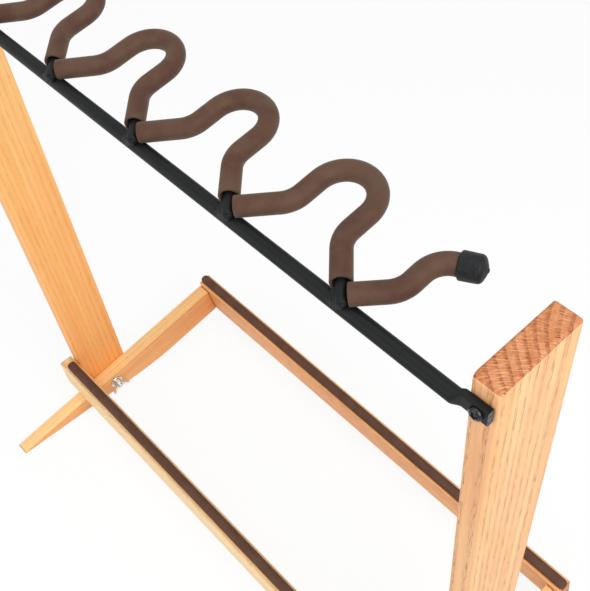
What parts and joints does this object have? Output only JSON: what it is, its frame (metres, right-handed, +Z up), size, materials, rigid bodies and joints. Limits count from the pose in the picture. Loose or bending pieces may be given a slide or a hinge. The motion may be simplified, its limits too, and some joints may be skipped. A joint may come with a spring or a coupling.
{
  "type": "folding multi-guitar floor rack",
  "caption": "Folding wooden floor rack that holds guitars side by side: padded rails for the bodies, padded wire hooks on a steel bar for the necks.",
  "frame": {"origin": "centre of the bounding box on the floor", "axes": "+Z up, -Y towards the player who takes a guitar out, +X along the rack bar"},
  "size_m": [0.714, 0.3677, 0.7569],
  "materials": {
    "oak": "oiled oak, satin",
    "dowel_wood": "plain beech",
    "brown_rubber": "soft matte brown rubber tube and strip",
    "black_rubber": "matte black rubber",
    "black_steel": "black powder coat, fine satin",
    "zinc_steel": "bright zinc plate"
  },
  "bodies": {
    "base": {"leg_left": "oak", "leg_right": "oak", "front_rail": "oak", "front_rail_pad": "brown_rubber", "front_dowel_left_1": "dowel_wood", "front_dowel_left_2": "dowel_wood", "front_dowel_right_1": "dowel_wood", "front_dowel_right_2": "dowel_wood"},
    "uprights": {"upright_left": "oak", "upright_right": "oak", "rear_rail": "oak", "rear_rail_pad": "brown_rubber", "rack_bar": "black_steel", "hook_rod_1": "black_steel", "hook_rod_2": "black_steel", "hook_rod_3": "black_steel", "hook_rod_4": "black_steel", "hook_rod_5": "black_steel", "hook_rod_left": "black_steel", "hook_rod_right": "black_steel", "hook_sleeve_1": "brown_rubber", "hook_sleeve_2": "brown_rubber", "hook_sleeve_3": "brown_rubber", "hook_sleeve_4": "brown_rubber", "hook_sleeve_5": "brown_rubber", "hook_sleeve_left": "brown_rubber", "hook_sleeve_right": "brown_rubber", "hook_cap_left": "black_rubber", "hook_cap_right": "black_rubber", "bar_screw_left": "black_steel", "bar_screw_right": "black_steel", "pivot_bolt_left": "zinc_steel", "pivot_bolt_right": "zinc_steel", "pivot_washer_left": "zinc_steel", "pivot_washer_right": "zinc_steel", "pivot_nut_left": "zinc_steel", "pivot_nut_right": "zinc_steel", "rear_dowel_left_1": "dowel_wood", "rear_dowel_left_2": "dowel_wood", "rear_dowel_right_1": "dowel_wood", "rear_dowel_right_2": "dowel_wood"}
  },
  "joints": [
    {"name": "fold", "type": "hinge", "parent": "base", "child": "uprights", "pos_m": [0, 0.0241, 0.0175], "axis": [1, 0, 0], "range_deg": [0, 82]}
  ]
}
